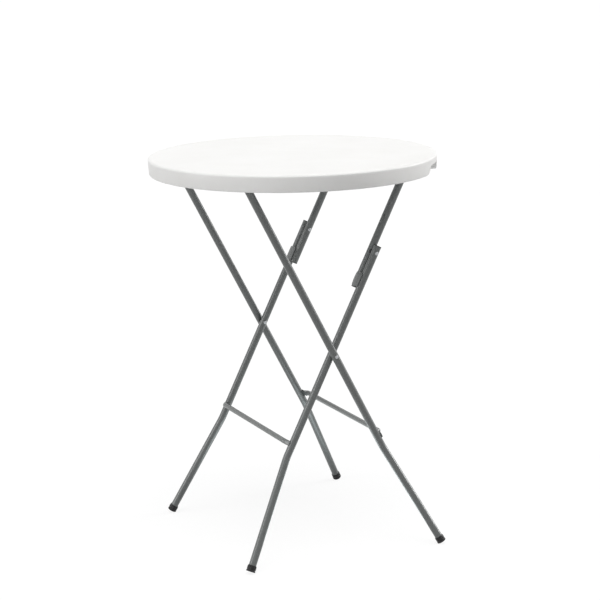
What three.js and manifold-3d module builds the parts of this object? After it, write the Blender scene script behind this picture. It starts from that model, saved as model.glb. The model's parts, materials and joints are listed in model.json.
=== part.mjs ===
// Round folding bar table: a moulded top on two crossed leg frames that fold flat under it.
// Millimetres, +Z up. The origin is on the floor under the centre of the top.
// Both leg frames turn about axes along Y. The outer frame has its feet on the +X side,
// where the rim is notched for the folded legs. The inner frame has its feet on the -X side
// and breaks at a knuckle, above which a link frame carries it to its own hinge.
import * as THREE from "three";
import { mergeVertices } from "three/addons/utils/BufferGeometryUtils.js";
import Module from "manifold-3d";

const wasm = await Module();
wasm.setup();

// Whole table
const tableHeight = 1100;
const topDiameter = 812;
const hingeHalfSpacing = 257;
const footHalfSpread = 292;

// Clearances
const seatGap = 0.3;
const foldClearance = 1;
const pivotClearance = 0.3;
const hingeRimGap = 11.6;
const cutOverrun = 4;
const weldTolerance = 0.0001;

// Tabletop moulding
const topEdgeRadius = 6;
const rimDepth = 46;
const rimWidth = 21;
const rimDraft = 2;
const rimFootRadius = 4;
const rimRootRadius = 9;
const panelThickness = 14;
const notchSkirtDepth = 20.5;
const notchInnerMargin = 4.5;
const notchOuterMargin = 32.5;
const notchCrownShare = 0.3;
const notchFootShare = 0.55;
const padMargin = 5;
const dimpleMouthRadius = 13;
const dimpleFloorRadius = 7;
const dimpleDepth = 10;
const dimpleRings = [
  { radiusShare: 0.25, count: 6 },
  { radiusShare: 0.52, count: 12 },
  { radiusShare: 0.8, count: 18 },
];

// Leg tubes
const tubeDiameter = 21;
const tubeWall = 1.2;
const crossingGap = 3;
const knuckleGap = 6;
const bendHeight = 290;
const bendRadius = 90;
const outerFootSplay = 84;
const innerFootSplay = 66.5;
const innerLegLead = 19.5;
const linkTail = 107;

// Crossbars, welded to the legs above the bend
const crossbarDiameter = 14.5;
const crossbarTaper = 14;
const crossbarCorner = 4;
const outerCrossbarRise = 33;
const outerEndThickness = 2.4;
const outerEndReach = 8;
const innerCrossbarRise = 41;
const innerEndThickness = 10;
const innerEndReach = 2;
const taperShares = [1 / 3, 2 / 3];
const flatSquareShare = 0.55;

// Foot caps
const capHeight = 18;
const capSole = 3.5;
const capWall = 1.2;
const capBulge = 0.9;
const capBulgeShare = 0.55;
const capFlange = 1;
const capFlangeHeight = 3.4;
const capEdge = 1.1;
const capFluteDepth = 0.7;

// End plugs
const plugFlange = 1.6;
const plugLip = 0.4;
const plugDepth = 8;

// Stop plates
const stopLength = 40;
const stopThickness = 3;
const stopOverhang = 4.5;
const stopSetback = 2.5;
const stopCorner = 3;

// Rivets and spacers
const rivetDiameter = 6;
const rivetHeadRadius = 5;
const rivetHeadHeight = 2;
const rivetCrownShares = [1, 0.8, 0.45, 0];
const spacerDiameter = 16;
const spacerCupShare = 1 / 3;

// Hinge straps and their screws
const strapThickness = 2;
const strapWidth = 26;
const strapEar = 17;
const strapBend = 2.5;
const outerStrapShare = 0.73;
const linkStrapShare = 0.67;
const screwShankRadius = 2;
const screwHeadRadius = 4.5;
const screwHeadHeight = 2.6;
const screwCrownShare = 0.7;
const screwLength = 14;

// Facets
const topSegments = 96;
const tubeSegments = 16;
const bendSteps = 3;
const arcSteps = 4;
const barSegments = 14;
const capSegments = 24;
const rivetSegments = 10;
const screwSegments = 8;
const dimpleSegments = 8;

// Sizes that follow from those above
const topRadius = topDiameter / 2;
const tubeRadius = tubeDiameter / 2;
const hingeDrop = notchSkirtDepth + foldClearance + tubeRadius;
const hingeHeight = tableHeight - hingeDrop;
const legAngle = Math.atan2(hingeHeight, hingeHalfSpacing + footHalfSpread);
const crossingAlong = hingeHalfSpacing / Math.cos(legAngle);
const knuckleAlong = hingeHalfSpacing;
const bendAlong = (hingeHeight - bendHeight) / Math.sin(legAngle);
const hingeEndReach = topRadius - rimWidth - hingeRimGap;
const hingeHalfLength = Math.sqrt(hingeEndReach ** 2 - (hingeHalfSpacing + tubeRadius) ** 2);
const outerLegPlane = hingeHalfLength - tubeRadius;
const innerLegPlane = outerLegPlane - tubeDiameter - crossingGap;
const linkPlane = innerLegPlane - tubeDiameter - knuckleGap;
const panelUnderside = tableHeight - panelThickness;
const rimFoot = tableHeight - rimDepth;
const shankClearRadius = rivetDiameter / 2 + pivotClearance;
const strapRadius = tubeRadius + seatGap;
const strapEnd = strapRadius + strapThickness + strapEar;
const screwOffset = strapRadius + strapThickness + strapEar / 2;
const screwHoleRadius = screwShankRadius + pivotClearance;
const padHalfLength = strapEnd + padMargin;
const padHalfWidth = strapWidth / 2 + padMargin;

// Finishes
const whitePlastic = { color: 0xf2f1ee, roughness: 0.45, metalness: 0 };
const greyPaint = { color: 0x5d6260, roughness: 0.38, metalness: 0.35 };
const barPaint = { color: 0x8b8f8f, roughness: 0.35, metalness: 0.45 };
const blackPlastic = { color: 0x1d1d1e, roughness: 0.6, metalness: 0 };
const zincSteel = { color: 0xc3c5c6, roughness: 0.3, metalness: 0.9 };

// Solids: merged geometry in, joined or cut geometry out

function solidOf(geometry) {
  const bare = geometry.clone();
  bare.deleteAttribute("normal");
  bare.deleteAttribute("uv");
  const merged = mergeVertices(bare, weldTolerance);
  const corners = merged.index.array;
  const triVerts = [];
  for (let first = 0; first < corners.length; first += 3) {
    const [a, b, c] = corners.slice(first, first + 3);
    if (a !== b && b !== c && c !== a) {
      triVerts.push(a, b, c);
    }
  }
  const mesh = new wasm.Mesh({
    numProp: 3,
    vertProperties: Float32Array.from(merged.attributes.position.array),
    triVerts: Uint32Array.from(triVerts),
  });
  return new wasm.Manifold(mesh);
}

function geometryOf(solid) {
  const mesh = solid.getMesh();
  const geometry = new THREE.BufferGeometry();
  geometry.setAttribute("position", new THREE.BufferAttribute(mesh.vertProperties, 3));
  geometry.setIndex(new THREE.BufferAttribute(mesh.triVerts, 1));
  geometry.computeVertexNormals();
  return geometry;
}

function cut(geometry, cutters) {
  let solid = solidOf(geometry);
  for (const cutter of cutters) {
    solid = solid.subtract(solidOf(cutter));
  }
  return geometryOf(solid);
}

function join(geometry, additions) {
  let solid = solidOf(geometry);
  for (const addition of additions) {
    solid = solid.add(solidOf(addition));
  }
  return geometryOf(solid);
}

// Basic shapes

function rodAlongY(radius, length, segments) {
  return new THREE.CylinderGeometry(radius, radius, length, segments);
}

function rodAlongX(radius, length, segments) {
  return rodAlongY(radius, length, segments).rotateZ(Math.PI / 2);
}

function rodAlongZ(radius, length, segments) {
  return rodAlongY(radius, length, segments).rotateX(Math.PI / 2);
}

function arc(centreX, centreY, radius, startTurns, endTurns, steps) {
  const points = [];
  for (let step = 0; step <= steps; step += 1) {
    const angle = 2 * Math.PI * (startTurns + ((endTurns - startTurns) * step) / steps);
    points.push(
      new THREE.Vector2(centreX + radius * Math.cos(angle), centreY + radius * Math.sin(angle)),
    );
  }
  return points;
}

function tubeSection() {
  const section = new THREE.Shape();
  section.absarc(0, 0, tubeRadius, 0, 2 * Math.PI, false);
  const bore = new THREE.Path();
  bore.absarc(0, 0, tubeRadius - tubeWall, 0, 2 * Math.PI, true);
  section.holes.push(bore);
  return section;
}

// A path given by its stations, so that a straight stretch takes a single step
class StationPath extends THREE.Curve {
  constructor(stations) {
    super();
    this.stations = stations;
  }

  stationAt(share) {
    return this.stations[Math.round(share * (this.stations.length - 1))];
  }

  getPointAt(share) {
    return this.stationAt(share).point.clone();
  }

  getTangentAt(share) {
    return this.stationAt(share).tangent.clone();
  }
}

function tubeAlong(stations) {
  return new THREE.ExtrudeGeometry(tubeSection(), {
    extrudePath: new StationPath(stations),
    steps: stations.length - 1,
    curveSegments: tubeSegments / 2,
  });
}

function straightTubeX(startX, endX) {
  const tangent = new THREE.Vector3(1, 0, 0);
  return tubeAlong([
    { point: new THREE.Vector3(startX, 0, 0), tangent },
    { point: new THREE.Vector3(endX, 0, 0), tangent },
  ]);
}

function straightTubeY(halfLength) {
  const tangent = new THREE.Vector3(0, 1, 0);
  return tubeAlong([
    { point: new THREE.Vector3(0, -halfLength, 0), tangent },
    { point: new THREE.Vector3(0, halfLength, 0), tangent },
  ]);
}

// Closed rings with the same number of points, skinned into one solid with flat ends.
// Each ring runs anticlockwise seen from the side that the rings advance to.
function loft(rings) {
  const around = rings[0].length;
  const positions = [];
  for (const point of rings.flat()) {
    positions.push(point.x, point.y, point.z);
  }
  const index = [];
  for (let ring = 1; ring < rings.length; ring += 1) {
    for (let corner = 0; corner < around; corner += 1) {
      const next = (corner + 1) % around;
      const below = (ring - 1) * around;
      const above = ring * around;
      index.push(below + corner, below + next, above + corner);
      index.push(below + next, above + next, above + corner);
    }
  }
  const last = (rings.length - 1) * around;
  for (let corner = 1; corner + 1 < around; corner += 1) {
    index.push(0, corner + 1, corner);
    index.push(last, last + corner, last + corner + 1);
  }
  const geometry = new THREE.BufferGeometry();
  geometry.setAttribute("position", new THREE.Float32BufferAttribute(positions, 3));
  geometry.setIndex(index);
  geometry.computeVertexNormals();
  return geometry;
}

// Tabletop

function rimAndPanel() {
  const innerTop = topRadius - rimWidth - rimDraft;
  const innerFoot = topRadius - rimWidth;
  const outerFoot = topRadius - rimDraft;
  const root = arc(
    innerTop - rimRootRadius,
    panelUnderside - rimRootRadius,
    rimRootRadius,
    0.25,
    0,
    arcSteps - 1,
  );
  const innerLip = arc(
    innerFoot + rimFootRadius,
    rimFoot + rimFootRadius,
    rimFootRadius,
    0.5,
    0.75,
    arcSteps - 2,
  );
  const outerLip = arc(
    outerFoot - rimFootRadius,
    rimFoot + rimFootRadius,
    rimFootRadius,
    0.75,
    1,
    arcSteps - 2,
  );
  const edge = arc(
    topRadius - topEdgeRadius,
    tableHeight - topEdgeRadius,
    topEdgeRadius,
    0,
    0.25,
    arcSteps,
  );
  const profile = [
    new THREE.Vector2(0, panelUnderside),
    ...root,
    ...innerLip,
    ...outerLip,
    ...edge,
    new THREE.Vector2(0, tableHeight),
  ];
  return new THREE.LatheGeometry(profile, topSegments).rotateX(Math.PI / 2);
}

// Outline of one side's notch seen along X. Its upper corners are rounded inwards, and the
// rim's lower corners beside it outwards.
function notchCutter(side) {
  const top = tableHeight - notchSkirtDepth;
  const height = top - rimFoot;
  const crown = notchCrownShare * height;
  const foot = notchFootShare * height;
  const inside = innerLegPlane - tubeRadius - notchInnerMargin;
  const outside = outerLegPlane + tubeRadius + notchOuterMargin;
  const outline = [
    new THREE.Vector2(inside - foot, rimFoot - cutOverrun),
    ...arc(inside - foot, rimFoot + foot, foot, -0.25, 0, arcSteps),
    ...arc(inside + crown, top - crown, crown, 0.5, 0.25, arcSteps - 1),
    ...arc(outside - crown, top - crown, crown, 0.25, 0, arcSteps - 1),
    ...arc(outside + foot, rimFoot + foot, foot, 0.5, 0.75, arcSteps),
    new THREE.Vector2(outside + foot, rimFoot - cutOverrun),
  ];
  const placed = outline.map((point) => new THREE.Vector2(side.sign * point.x, point.y));
  const cutter = new THREE.ExtrudeGeometry(new THREE.Shape(placed), {
    depth: topRadius + cutOverrun,
    bevelEnabled: false,
  });
  return cutter.rotateX(Math.PI / 2).rotateZ(Math.PI / 2);
}

const hingeLines = [
  {
    name: "outer",
    hingeX: -hingeHalfSpacing,
    strapPlane: outerStrapShare * hingeHalfLength,
  },
  { name: "link", hingeX: hingeHalfSpacing, strapPlane: linkStrapShare * (linkPlane + tubeRadius) },
];
const sides = [
  { name: "near", sign: -1 },
  { name: "far", sign: 1 },
];

function padCentres() {
  return hingeLines.flatMap((line) =>
    sides.map((side) => new THREE.Vector2(line.hingeX, side.sign * line.strapPlane)),
  );
}

function hingePad(centre) {
  const foot = hingeHeight + strapRadius;
  const pad = new THREE.BoxGeometry(
    2 * padHalfLength,
    2 * padHalfWidth,
    panelUnderside - foot + cutOverrun,
  );
  return pad.translate(centre.x, centre.y, (panelUnderside + foot + cutOverrun) / 2);
}

function screwBores(centre) {
  const mouth = hingeHeight + strapRadius;
  return [-screwOffset, screwOffset].map((offset) =>
    rodAlongZ(screwHoleRadius, 2 * screwLength, screwSegments).translate(
      centre.x + offset,
      centre.y,
      mouth,
    ),
  );
}

function clearOfPads(x, y) {
  return padCentres().every(
    (centre) =>
      Math.abs(x - centre.x) > padHalfLength + dimpleMouthRadius ||
      Math.abs(y - centre.y) > padHalfWidth + dimpleMouthRadius,
  );
}

function dimples() {
  const field = topRadius - rimWidth - rimDraft - rimRootRadius;
  const found = [];
  for (const ring of dimpleRings) {
    for (let place = 0; place < ring.count; place += 1) {
      const angle = (2 * Math.PI * (place + 0.5)) / ring.count;
      const x = ring.radiusShare * field * Math.cos(angle);
      const y = ring.radiusShare * field * Math.sin(angle);
      if (clearOfPads(x, y)) {
        const slope = (dimpleMouthRadius - dimpleFloorRadius) / dimpleDepth;
        const cone = new THREE.CylinderGeometry(
          dimpleFloorRadius,
          dimpleMouthRadius + slope * cutOverrun,
          dimpleDepth + cutOverrun,
          dimpleSegments,
        );
        cone.rotateX(Math.PI / 2);
        found.push(cone.translate(x, y, panelUnderside + (dimpleDepth - cutOverrun) / 2));
      }
    }
  }
  return found;
}

function tabletop() {
  const notched = cut(rimAndPanel(), [...sides.map(notchCutter), ...dimples()]);
  const padded = join(notched, padCentres().map(hingePad));
  return cut(padded, padCentres().flatMap(screwBores));
}

// Leg frames. Each is drawn in a turned group: its X runs down along the legs from the
// hinge axis, and Y is the table's own.

const outerFrame = { turn: legAngle, hingeX: -hingeHalfSpacing };
const innerFrame = { turn: Math.PI - legAngle, hingeX: hingeHalfSpacing };

function frameGroup(frame) {
  const group = new THREE.Group();
  group.position.set(frame.hingeX, 0, hingeHeight);
  group.rotation.y = frame.turn;
  return group;
}

function copeCutter() {
  return rodAlongY(tubeRadius + seatGap, tubeDiameter + cutOverrun, tubeSegments);
}

function rivetHoleY(along, plane) {
  const hole = rodAlongY(shankClearRadius, tubeDiameter + cutOverrun, rivetSegments);
  return hole.translate(along, plane, 0);
}

function splayOf(footSplay) {
  return Math.atan2(footSplay, bendHeight / Math.sin(legAngle));
}

// How far a foot cap reaches below the centre of its own sole once its leg leans
function reachBelow(geometry, splay) {
  const lean = new THREE.Matrix4().makeRotationY(legAngle);
  lean.multiply(new THREE.Matrix4().makeRotationZ(splay));
  const leaning = geometry.clone().applyMatrix4(lean);
  leaning.computeBoundingBox();
  return -leaning.boundingBox.min.z;
}

// Where the leg's axis meets the sole of its cap, measured from the corner of the bend
function shinLength(splay) {
  const drop = Math.cos(splay) * Math.sin(legAngle);
  return (bendHeight - reachBelow(footCap(), splay)) / drop;
}

function bentLeg(startAlong, plane, footSplay) {
  const splay = splayOf(footSplay);
  const shoulder = bendRadius * Math.tan(splay / 2);
  const down = new THREE.Vector3(1, 0, 0);
  const shin = new THREE.Vector3(Math.cos(splay), Math.sin(splay), 0);
  const stations = [{ point: new THREE.Vector3(startAlong, plane, 0), tangent: down }];
  for (let step = 0; step <= bendSteps; step += 1) {
    const angle = (splay * step) / bendSteps;
    const tangent = new THREE.Vector3(Math.cos(angle), Math.sin(angle), 0);
    const point = new THREE.Vector3(
      bendAlong - shoulder + bendRadius * Math.sin(angle),
      plane + bendRadius * (1 - Math.cos(angle)),
      0,
    );
    stations.push({ point, tangent });
  }
  const tubeEnd = shinLength(splay) - capSole - seatGap;
  const foot = new THREE.Vector3(bendAlong, plane, 0).addScaledVector(shin, tubeEnd);
  stations.push({ point: foot, tangent: shin });
  return tubeAlong(stations);
}

// A tube on the near side is the far one turned over about the leg's own direction
function onSide(geometry, side) {
  return side.sign > 0 ? geometry : geometry.rotateX(Math.PI);
}

function outerLeg(side) {
  const leg = onSide(bentLeg(0, outerLegPlane, outerFootSplay), side);
  return cut(leg, [
    copeCutter().translate(0, side.sign * outerLegPlane, 0),
    rivetHoleY(crossingAlong, side.sign * outerLegPlane),
  ]);
}

function innerLeg(side) {
  const leg = onSide(bentLeg(knuckleAlong - innerLegLead, innerLegPlane, innerFootSplay), side);
  return cut(leg, [
    rivetHoleY(knuckleAlong, side.sign * innerLegPlane),
    rivetHoleY(crossingAlong, side.sign * innerLegPlane),
  ]);
}

function linkArm(side) {
  const plane = side.sign * linkPlane;
  const arm = straightTubeX(0, knuckleAlong + linkTail).translate(0, plane, 0);
  return cut(arm, [copeCutter().translate(0, plane, 0), rivetHoleY(knuckleAlong, plane)]);
}

// Foot cap, its sole centred at its own origin and its body running back along -X

function footCap() {
  const bore = tubeRadius + seatGap;
  const rim = bore + capWall;
  const flange = rim + capFlange;
  const bulge = rim + capBulge;
  const bulgeHeight = capFlangeHeight + capBulgeShare * (capHeight - capFlangeHeight);
  const profile = [
    new THREE.Vector2(0, 0),
    new THREE.Vector2(flange - capEdge, 0),
    new THREE.Vector2(flange, capEdge),
    new THREE.Vector2(flange, capFlangeHeight),
    new THREE.Vector2(rim, capFlangeHeight + capEdge),
    new THREE.Vector2(bulge, bulgeHeight),
    new THREE.Vector2(rim, capHeight),
    new THREE.Vector2(bore, capHeight),
    new THREE.Vector2(bore, capSole),
    new THREE.Vector2(0, capSole),
  ];
  const cap = new THREE.LatheGeometry(profile, capSegments);
  const places = cap.attributes.position;
  for (let corner = 0; corner < places.count; corner += 1) {
    const spoke = Math.floor(corner / profile.length);
    const point = profile[corner % profile.length];
    if (spoke % 2 === 1 && point.x > bore && point.y > capFlangeHeight && point.y < capHeight) {
      const share = (point.x - capFluteDepth) / point.x;
      places.setX(corner, places.getX(corner) * share);
      places.setZ(corner, places.getZ(corner) * share);
    }
  }
  return cap.rotateZ(Math.PI / 2);
}

function capGroup(plane, footSplay, side) {
  const splay = splayOf(footSplay);
  const shin = shinLength(splay);
  const group = new THREE.Group();
  group.position.set(
    bendAlong + shin * Math.cos(splay),
    side.sign * (plane + shin * Math.sin(splay)),
    0,
  );
  group.rotation.z = side.sign * splay;
  return group;
}

// Crossbars

// A bar section across Y: round when its half width and half thickness are equal, else a
// flat oval whose underside stays on the seat
function barRing(y, halfWidth, halfThickness, seat) {
  const squareness = THREE.MathUtils.lerp(flatSquareShare, 1, halfThickness / halfWidth);
  const ring = [];
  for (let corner = 0; corner < barSegments; corner += 1) {
    const angle = (2 * Math.PI * corner) / barSegments;
    const across = Math.sign(Math.sin(angle)) * Math.abs(Math.sin(angle)) ** squareness;
    const up = Math.sign(Math.cos(angle)) * Math.abs(Math.cos(angle)) ** squareness;
    ring.push(
      new THREE.Vector3(halfWidth * across, y, seat + halfThickness + halfThickness * up),
    );
  }
  return ring;
}

// The same ring on the other side of the table, still in the same turning sense
function mirrorRing(ring) {
  return ring.map((point) => new THREE.Vector3(point.x, -point.y, point.z));
}

// A round bar whose ends are pressed down to the given thickness where they cross the legs
function crossbar(plane, endThickness, endReach) {
  const seat = tubeRadius + seatGap;
  const round = crossbarDiameter / 2;
  const thin = endThickness / 2;
  const wide = thin + (Math.PI / 2) * (round - thin);
  const flatStart = plane - tubeRadius;
  const roundEnd = flatStart - crossbarTaper;
  const cornerStart = plane + endReach - crossbarCorner;
  const half = [barRing(roundEnd, round, round, seat)];
  for (const share of taperShares) {
    const eased = THREE.MathUtils.smoothstep(share, 0, 1);
    half.push(
      barRing(
        roundEnd + share * crossbarTaper,
        THREE.MathUtils.lerp(round, wide, eased),
        THREE.MathUtils.lerp(round, thin, eased),
        seat,
      ),
    );
  }
  half.push(barRing(flatStart, wide, thin, seat));
  for (const corner of arc(wide - crossbarCorner, cornerStart, crossbarCorner, 0, 0.25, 2)) {
    half.push(barRing(corner.y, corner.x, thin, seat));
  }
  const mirrored = half.map((ring) => mirrorRing(ring)).reverse();
  return loft([...mirrored, ...half]);
}

// Small parts

// Profile of a domed rivet head whose underside lies at the given height
function rivetHead(seat) {
  const dome = rivetCrownShares.map(
    (share) =>
      new THREE.Vector2(
        rivetHeadRadius * share,
        seat + rivetHeadHeight * Math.sqrt(1 - share * share),
      ),
  );
  return [new THREE.Vector2(rivetDiameter / 2, seat), ...dome];
}

// A domed head on each end of a shank along Y, centred, holding the given thickness
function rivet(grip) {
  const upper = rivetHead(grip / 2 + seatGap);
  const lower = upper.map((point) => new THREE.Vector2(point.x, -point.y)).reverse();
  return new THREE.LatheGeometry([...lower, ...upper], rivetSegments);
}

// A domed head at Y = 0 with a plain shank of the given length below it
function headedPin(length) {
  const profile = [
    new THREE.Vector2(0, -length),
    new THREE.Vector2(rivetDiameter / 2, -length),
    ...rivetHead(0),
  ];
  return new THREE.LatheGeometry(profile, rivetSegments);
}

// A spacer between two tubes, cupped round the one that it stays with. It starts at Y = 0,
// against the other tube, and its own tube's axis lies at the given distance.
function spacer(gap) {
  const cup = gap + tubeRadius;
  const length = gap + spacerCupShare * tubeRadius - seatGap;
  const blank = rodAlongY(spacerDiameter / 2, length, tubeSegments);
  blank.translate(0, seatGap + length / 2, 0);
  const tube = rodAlongX(tubeRadius + seatGap, 2 * spacerDiameter, tubeSegments);
  return cut(blank, [
    tube.translate(0, cup, 0),
    rodAlongY(shankClearRadius, 2 * (length + cutOverrun), rivetSegments),
  ]);
}

// Plug for a tube end: a flange and a stub that runs into the tube along +X
function endPlug() {
  const stub = tubeRadius - tubeWall - seatGap;
  const flange = tubeRadius + plugLip;
  const profile = [
    new THREE.Vector2(0, 0),
    new THREE.Vector2(flange - plugFlange / 2, 0),
    new THREE.Vector2(flange, plugFlange / 2),
    new THREE.Vector2(flange, plugFlange),
    new THREE.Vector2(stub, plugFlange),
    new THREE.Vector2(stub, plugFlange + plugDepth),
    new THREE.Vector2(0, plugFlange + plugDepth),
  ];
  return new THREE.LatheGeometry(profile, tubeSegments).rotateZ(-Math.PI / 2);
}

function stopPlate() {
  const width = innerLegPlane - linkPlane + stopOverhang;
  const outline = new THREE.Shape([
    ...arc(stopLength - stopCorner, width - stopCorner, stopCorner, 0, 0.25, 2),
    ...arc(stopCorner, width - stopCorner, stopCorner, 0.25, 0.5, 2),
    ...arc(stopCorner, stopCorner, stopCorner, 0.5, 0.75, 2),
    ...arc(stopLength - stopCorner, stopCorner, stopCorner, 0.75, 1, 2),
  ]);
  return new THREE.ExtrudeGeometry(outline, { depth: stopThickness, bevelEnabled: false });
}

// Strap under a hinge tube: two ears on the pad and a half round that the tube turns in
function hingeStrap() {
  const outside = strapRadius + strapThickness;
  const earTop = strapRadius - seatGap;
  const earFoot = earTop - strapThickness;
  const outline = new THREE.Shape([
    new THREE.Vector2(-strapEnd, earTop),
    new THREE.Vector2(-strapEnd, earFoot),
    ...arc(-outside - strapBend, earFoot - strapBend, strapBend, 0.25, 0, 2),
    ...arc(0, 0, outside, 0.5, 1, 2 * arcSteps),
    ...arc(outside + strapBend, earFoot - strapBend, strapBend, 0.5, 0.25, 2),
    new THREE.Vector2(strapEnd, earFoot),
    new THREE.Vector2(strapEnd, earTop),
    new THREE.Vector2(strapRadius, earTop),
    ...arc(0, 0, strapRadius, 1, 0.5, 2 * arcSteps),
    new THREE.Vector2(-strapRadius, earTop),
  ]);
  const strap = new THREE.ExtrudeGeometry(outline, { depth: strapWidth, bevelEnabled: false });
  strap.translate(0, 0, -strapWidth / 2);
  strap.rotateX(Math.PI / 2);
  return cut(strap, [
    rodAlongZ(screwHoleRadius, 2 * strapRadius, screwSegments).translate(-screwOffset, 0, earTop),
    rodAlongZ(screwHoleRadius, 2 * strapRadius, screwSegments).translate(screwOffset, 0, earTop),
  ]);
}

// Pan head screw pointing up, the top of its head at its own origin
function screw() {
  const profile = [
    new THREE.Vector2(0, -screwHeadHeight),
    new THREE.Vector2(screwHeadRadius * screwCrownShare, -screwHeadHeight),
    new THREE.Vector2(screwHeadRadius, -screwHeadHeight / 2),
    new THREE.Vector2(screwHeadRadius, 0),
    new THREE.Vector2(screwShankRadius, 0),
    new THREE.Vector2(screwShankRadius, screwLength - 2 * screwShankRadius),
    new THREE.Vector2(0, screwLength),
  ];
  return new THREE.LatheGeometry(profile, screwSegments).rotateX(Math.PI / 2);
}

// Assembly

const table = new THREE.Group();

function addPiece(parent, name, geometry, finish) {
  const piece = new THREE.Mesh(geometry, new THREE.MeshStandardMaterial(finish));
  piece.name = name;
  parent.add(piece);
  return piece;
}

addPiece(table, "table_top", tabletop(), whitePlastic);

const outer = frameGroup(outerFrame);
const inner = frameGroup(innerFrame);
table.add(outer, inner);

addPiece(outer, "outer_hinge_tube", straightTubeY(hingeHalfLength), greyPaint);
addPiece(inner, "link_hinge_tube", straightTubeY(linkPlane + tubeRadius), greyPaint);

const outerBar = addPiece(
  outer,
  "outer_crossbar",
  crossbar(outerLegPlane, outerEndThickness, outerEndReach),
  barPaint,
);
outerBar.position.x = bendAlong - outerCrossbarRise;

const innerBar = addPiece(
  inner,
  "inner_crossbar",
  crossbar(innerLegPlane, innerEndThickness, innerEndReach),
  barPaint,
);
innerBar.position.x = bendAlong - innerCrossbarRise;
innerBar.rotation.x = Math.PI;

function addCap(group, name, plane, footSplay, side) {
  const foot = capGroup(plane, footSplay, side);
  addPiece(foot, name, footCap(), blackPlastic);
  group.add(foot);
}

for (const side of sides) {
  const { name, sign } = side;

  addPiece(outer, `outer_leg_${name}`, outerLeg(side), greyPaint);
  addPiece(inner, `inner_leg_${name}`, innerLeg(side), greyPaint);
  addPiece(inner, `link_arm_${name}`, linkArm(side), greyPaint);

  addCap(outer, `outer_foot_cap_${name}`, outerLegPlane, outerFootSplay, side);
  addCap(inner, `inner_foot_cap_${name}`, innerLegPlane, innerFootSplay, side);

  const crossingGrip = outerLegPlane - innerLegPlane + tubeDiameter;
  const crossing = addPiece(outer, `crossing_rivet_${name}`, rivet(crossingGrip), zincSteel);
  crossing.position.set(crossingAlong, (sign * (innerLegPlane + outerLegPlane)) / 2, 0);

  // The knuckle is the joint where the closed linkage is parted, so its rivet is in two
  // halves: one in the arm and its spacer, the other in the leg. They meet between the tubes.
  const armHalf = headedPin(innerLegPlane - linkPlane);
  const armRivet = addPiece(inner, `knuckle_rivet_arm_half_${name}`, armHalf, zincSteel);
  armRivet.position.set(knuckleAlong, sign * (linkPlane - tubeRadius - seatGap), 0);
  armRivet.rotation.z = sign > 0 ? Math.PI : 0;
  const legHalf = headedPin(tubeDiameter + seatGap);
  const legRivet = addPiece(inner, `knuckle_rivet_leg_half_${name}`, legHalf, zincSteel);
  legRivet.position.set(knuckleAlong, sign * (innerLegPlane + tubeRadius + seatGap), 0);
  legRivet.rotation.z = sign > 0 ? 0 : Math.PI;

  // The crossing spacer stays with the outer leg, and the knuckle spacer with the link arm
  const crossingSpacer = addPiece(
    outer,
    `crossing_spacer_${name}`,
    spacer(crossingGap),
    blackPlastic,
  );
  crossingSpacer.position.set(crossingAlong, sign * (innerLegPlane + tubeRadius), 0);
  crossingSpacer.rotation.z = sign > 0 ? 0 : Math.PI;
  const knuckleSpacer = addPiece(
    inner,
    `knuckle_spacer_${name}`,
    spacer(knuckleGap),
    blackPlastic,
  );
  knuckleSpacer.position.set(knuckleAlong, sign * (innerLegPlane - tubeRadius), 0);
  knuckleSpacer.rotation.z = sign > 0 ? Math.PI : 0;

  const legPlug = addPiece(inner, `inner_leg_plug_${name}`, endPlug(), blackPlastic);
  legPlug.position.set(
    knuckleAlong - innerLegLead - plugFlange - seatGap,
    sign * innerLegPlane,
    0,
  );
  const linkPlug = addPiece(inner, `link_plug_${name}`, endPlug(), blackPlastic);
  linkPlug.position.set(
    knuckleAlong + linkTail + plugFlange + seatGap,
    sign * linkPlane,
    0,
  );
  linkPlug.rotation.z = Math.PI;

  // The stop plate runs from the arm's crest over the gap and past the leg's crest, on the
  // crossbar's side
  const stop = addPiece(inner, `stop_plate_${name}`, stopPlate(), greyPaint);
  stop.position.set(
    knuckleAlong + linkTail - stopSetback - stopLength,
    sign > 0 ? linkPlane : -(innerLegPlane + stopOverhang),
    -(tubeRadius + seatGap + stopThickness),
  );

  for (const line of hingeLines) {
    const seat = new THREE.Group();
    seat.position.set(line.hingeX, sign * line.strapPlane, hingeHeight);
    table.add(seat);
    addPiece(seat, `${line.name}_strap_${name}`, hingeStrap(), zincSteel);
    for (const [end, offset] of [["a", -screwOffset], ["b", screwOffset]]) {
      const fixing = addPiece(seat, `${line.name}_screw_${name}_${end}`, screw(), zincSteel);
      fixing.position.set(offset, 0, strapRadius - strapThickness - 2 * seatGap);
    }
  }
}

export default table;
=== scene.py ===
import json
import math

import bpy
from mathutils import Matrix, Vector


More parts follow.
